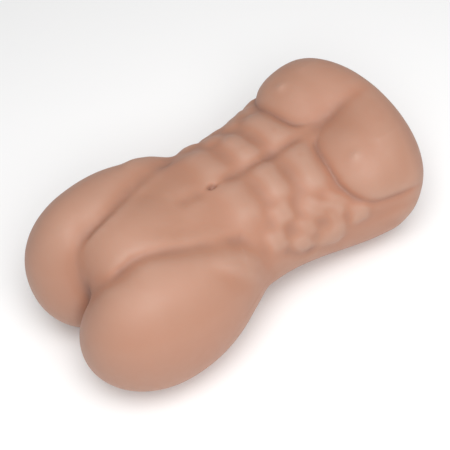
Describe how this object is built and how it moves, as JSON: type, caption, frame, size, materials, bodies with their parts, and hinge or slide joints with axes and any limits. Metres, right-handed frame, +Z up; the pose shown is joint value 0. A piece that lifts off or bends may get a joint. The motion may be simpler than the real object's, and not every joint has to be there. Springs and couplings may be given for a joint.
{
  "type": "torso mannequin",
  "caption": "Headless muscular torso mannequin with thigh stumps, lying on its back: thick soft skin cast around a foam core on a light steel frame.",
  "frame": {"origin": "centre of the bounding box, on the ground plane that the seat and the upper back rest on", "axes": "+Y from the thigh stumps to the chest end, +Z up out of the belly, +X to the body's left"},
  "size_m": [0.2896, 0.5054, 0.1964],
  "materials": {
    "skin": "matte, slightly powdery soft elastomer",
    "foam": "open-cell foam",
    "steel": "plain drawn steel",
    "alloy": "machined",
    "cap": "moulded rubber"
  },
  "bodies": {
    "root": {"skin": "skin", "chest_plug": "skin", "core_front": "foam", "core_back": "foam", "thigh_core_left": "foam", "thigh_core_right": "foam", "spine_tube": "steel", "shoulder_bar": "steel", "hip_fork": "steel", "shoulder_tee": "alloy", "hip_tee": "alloy", "shoulder_screw": "steel", "hip_screw": "steel", "shoulder_cap_left": "cap", "shoulder_cap_right": "cap", "thigh_cap_left": "cap", "thigh_cap_right": "cap"}
  },
  "joints": []
}
